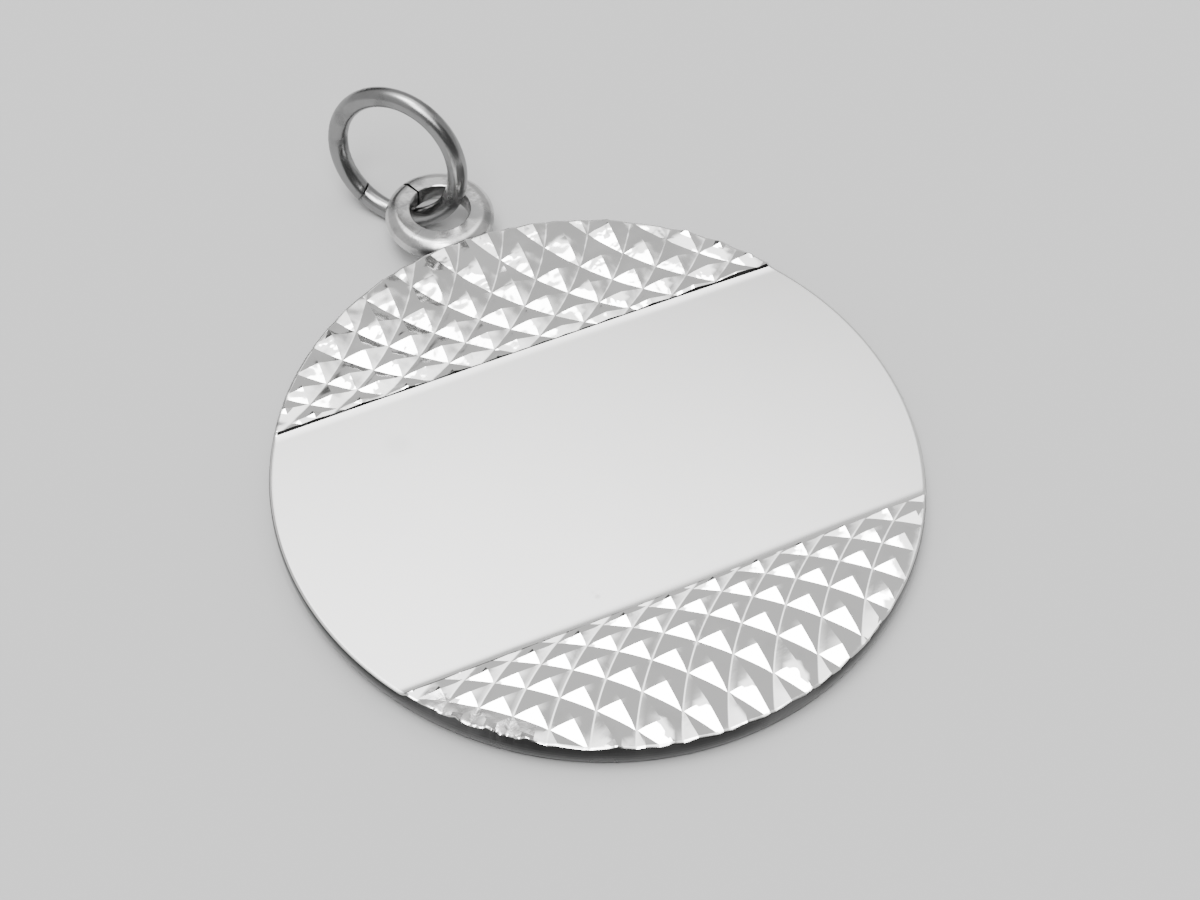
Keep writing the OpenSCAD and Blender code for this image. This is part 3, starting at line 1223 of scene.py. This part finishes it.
@dataclass
class JumpRing:
    """The split ring of round wire that stands in the eye.

    Attributes:
        ring_r: The radius of the wire's middle line.
        wire_r: The wire's radius.
        slit_w: The slit's width.
        slit_angle: The slit's place on the ring.
        slant: How far the slit slants, as a share of the height above the ring's middle plane.
        end_soft: The rounding of the wire's ends.
        end_steps: The steps of that rounding.
        heading: The ring's heading.
        lean: How far it leans from the upright.
        foot: The place of the wire's middle at its foot, in the part's frame.
        sides: The wire's sides.
        steps: The steps round the ring.
    """

    ring_r: float = 2.7
    wire_r: float = 0.397
    slit_w: float = 0.1
    slit_angle: float = 236.0
    slant: float = 0.4
    end_soft: float = 0.015
    end_steps: int = 3
    heading: float = -52.0
    lean: float = 9.7
    foot: tuple[float, float, float] = (-1.495067, 12.51, 0.4)
    sides: int = 36
    steps: int = 168

    def build(self, finishes: list[bpy.types.Material]) -> bpy.types.Object:
        """Spin the wire from one end to the other and round its two ends.

        Args:
            finishes: The wire's material and the ends' near-black one, which paints their dark reflection.

        Returns:
            The ring.
        """
        bm = bmesh.new()
        bmesh.ops.create_circle(bm, segments=self.sides, radius=self.wire_r, cap_ends=True)
        slit = 2.0 * math.degrees(math.asin(self.slit_w / 2.0 / self.ring_r))
        stand_section(bm, bm.verts, self.ring_r, self.slit_angle + slit / 2.0)
        spin_up(bm, bm.verts[:] + bm.edges[:] + bm.faces[:], math.radians(360.0 - slit), self.steps)
        bmesh.ops.recalc_face_normals(bm, faces=bm.faces)
        ends = [f for f in bm.faces if len(f.verts) > 4]
        for vert in (v for face in ends for v in face.verts):
            vert.co = turned(math.degrees(self.slant * vert.co.z / self.ring_r)) @ vert.co
        for face in bm.faces:
            face.smooth = True
            # The ends and their rounding get the near-black finish: painted dark reflection at the slit.
            face.material_index = int(face in ends)
        rounding = bmesh.ops.bevel(
            bm, geom=list({e for f in ends for e in f.edges}), offset=self.end_soft, offset_type="OFFSET",
            segments=self.end_steps, profile=0.5, affect="EDGES", clamp_overlap=True, material=-1,
        )
        for face in rounding["faces"]:
            face.material_index = 1
        seat = Matrix.Scale(MM, 4) @ Matrix.Translation(self.foot) @ turned(self.heading)
        seat = seat @ turned(90.0 - self.lean, "X") @ Matrix.Translation((0.0, self.ring_r, 0.0))
        bmesh.ops.transform(bm, matrix=seat, verts=bm.verts)
        ring = finish_piece("split_ring", bm, finishes)
        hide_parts("jump_ring")
        return ring


# The studio


@dataclass(frozen=True)
class Glow:
    """A soft-edged patch of the studio's light.

    Attributes:
        azimuth: Its heading from +X.
        height: Its middle's height above the floor, in degrees.
        reach: Its radius, in degrees.
        edge: The width of its soft edge, in degrees.
        light: What it adds to the surroundings' brightness.
    """

    azimuth: float
    height: float
    reach: float
    edge: float
    light: float

    def middle(self) -> Vector:
        """Return the direction of its middle."""
        a, h = math.radians(self.azimuth), math.radians(self.height)
        return Vector((math.cos(a) * math.cos(h), math.sin(a) * math.cos(h), math.sin(h)))


@dataclass
class Studio:
    """The pale floor, the soft lights and the camera.

    Attributes:
        fill: The surroundings' plain brightness.
        dimmest: The least brightness, where dark patches lie on it.
        glows: The patches of light.
        floor_half: Half the floor's width, in metres.
        floor_tone: The floor's grey.
        floor_rough: The floor's roughness.
        camera_at: The camera's place in the part's frame.
        camera_right: The direction of the picture's right side.
        camera_forward: The direction that the camera looks in.
        lens: Its focal length, for a sensor of full width.
        sensor: The sensor's width.
        clip: The nearest and the farthest that it sees, in metres.
    """

    fill: float = 0.72
    dimmest: float = 0.12
    glows: tuple[Glow, ...] = (
        Glow(75.0, 83.0, 28.5, 20.0, 3.1),
        Glow(150.0, 80.0, 13.0, 2.5, 15.0),
        Glow(92.0, 10.0, 17.0, 6.0, -2.0),
        Glow(-118.0, 60.0, 16.0, 6.0, 18.0),
        Glow(-90.0, 25.0, 42.0, 16.0, -6.0),
    )
    floor_half: float = 0.6
    floor_tone: float = 0.38
    floor_rough: float = 0.9
    camera_at: tuple[float, float, float] = (-25.1154, -52.1746, 71.3645)
    camera_right: tuple[float, float, float] = (0.901023, -0.433232, 0.021612)
    camera_forward: tuple[float, float, float] = (0.284879, 0.553439, -0.782655)
    lens: float = 73.0167
    sensor: float = 36.0
    clip: tuple[float, float] = (0.005, 5.0)

    def surroundings(self) -> None:
        """Fill the world with a plain grey and the soft patches of light."""
        world = bpy.data.worlds.new("soft_studio")
        bpy.context.scene.world = world
        world.use_nodes = True
        tree = world.node_tree
        place = tree.nodes.new("ShaderNodeTexCoord").outputs["Generated"]
        tree.nodes["Background"].inputs["Color"].default_value = (1.0, 1.0, 1.0, 1.0)
        total: Value = self.fill
        for glow in self.glows:
            dot = tree.nodes.new("ShaderNodeVectorMath")
            dot.operation = "DOT_PRODUCT"
            dot.inputs[1].default_value = glow.middle()
            tree.links.new(place, dot.inputs[0])
            outer, inner = glow.reach + glow.edge / 2.0, max(0.0, glow.reach - glow.edge / 2.0)
            low, high = math.cos(math.radians(outer)), math.cos(math.radians(inner))
            share = range_node(tree, dot.outputs["Value"], low, high)
            total = math_node(tree, "ADD", math_node(tree, "MULTIPLY", share, glow.light), total)
        light = math_node(tree, "MAXIMUM", total, self.dimmest)
        tree.links.new(light, tree.nodes["Background"].inputs["Strength"])

    def floor(self) -> None:
        """Lay the plain pale floor."""
        bm = bmesh.new()
        bmesh.ops.create_grid(bm, x_segments=2, y_segments=2, size=self.floor_half)
        mesh = bpy.data.meshes.new("floor")
        bm.to_mesh(mesh)
        bm.free()
        paint = bpy.data.materials.new("floor_paint")
        paint.use_nodes = True
        shader = paint.node_tree.nodes["Principled BSDF"]
        shader.inputs["Base Color"].default_value = (self.floor_tone, self.floor_tone, self.floor_tone, 1.0)
        shader.inputs["Roughness"].default_value = self.floor_rough
        mesh.materials.append(paint)
        ground = bpy.data.objects.new("floor", mesh)
        bpy.context.scene.collection.objects.link(ground)

    def camera(self) -> None:
        """Set the camera at the photo's angle."""
        data = bpy.data.cameras.new("camera")
        data.lens = self.lens
        data.sensor_width = self.sensor
        data.clip_start, data.clip_end = self.clip
        forward, right = Vector(self.camera_forward).normalized(), Vector(self.camera_right).normalized()
        axes = Matrix((right, right.cross(forward), -forward)).transposed().to_4x4()
        camera = bpy.data.objects.new("camera", data)
        camera.matrix_world = Matrix.Translation(Vector(self.camera_at) * MM) @ axes
        bpy.context.scene.collection.objects.link(camera)
        bpy.context.scene.camera = camera

    def build(self) -> None:
        """Set up the floor, the light and the camera."""
        self.floor()
        self.surroundings()
        self.camera()


def main() -> None:
    """Build the pendant's pieces and its studio."""
    logging.basicConfig(level=logging.INFO, format="%(name)s %(message)s")
    rest = Rest()
    wear = wear_group()
    dressed = [PLATE_FINISHES[part].material(wear) for part in Part]
    Plate(rest).build(dressed)
    # shade is the rim's near-black finish, reused for painted shade in the eye's seam and painted dark
    # reflection on the ring's ends.
    satin, shade = EYE_SATIN.material(wear), dressed[Part.RIM.value]
    Eye(rest).build([satin, shade])
    Solder(rest).build(satin)
    JumpRing().build([WIRE_SATIN.material(wear), shade])
    Studio().build()


if __name__ == "__main__":
    main()
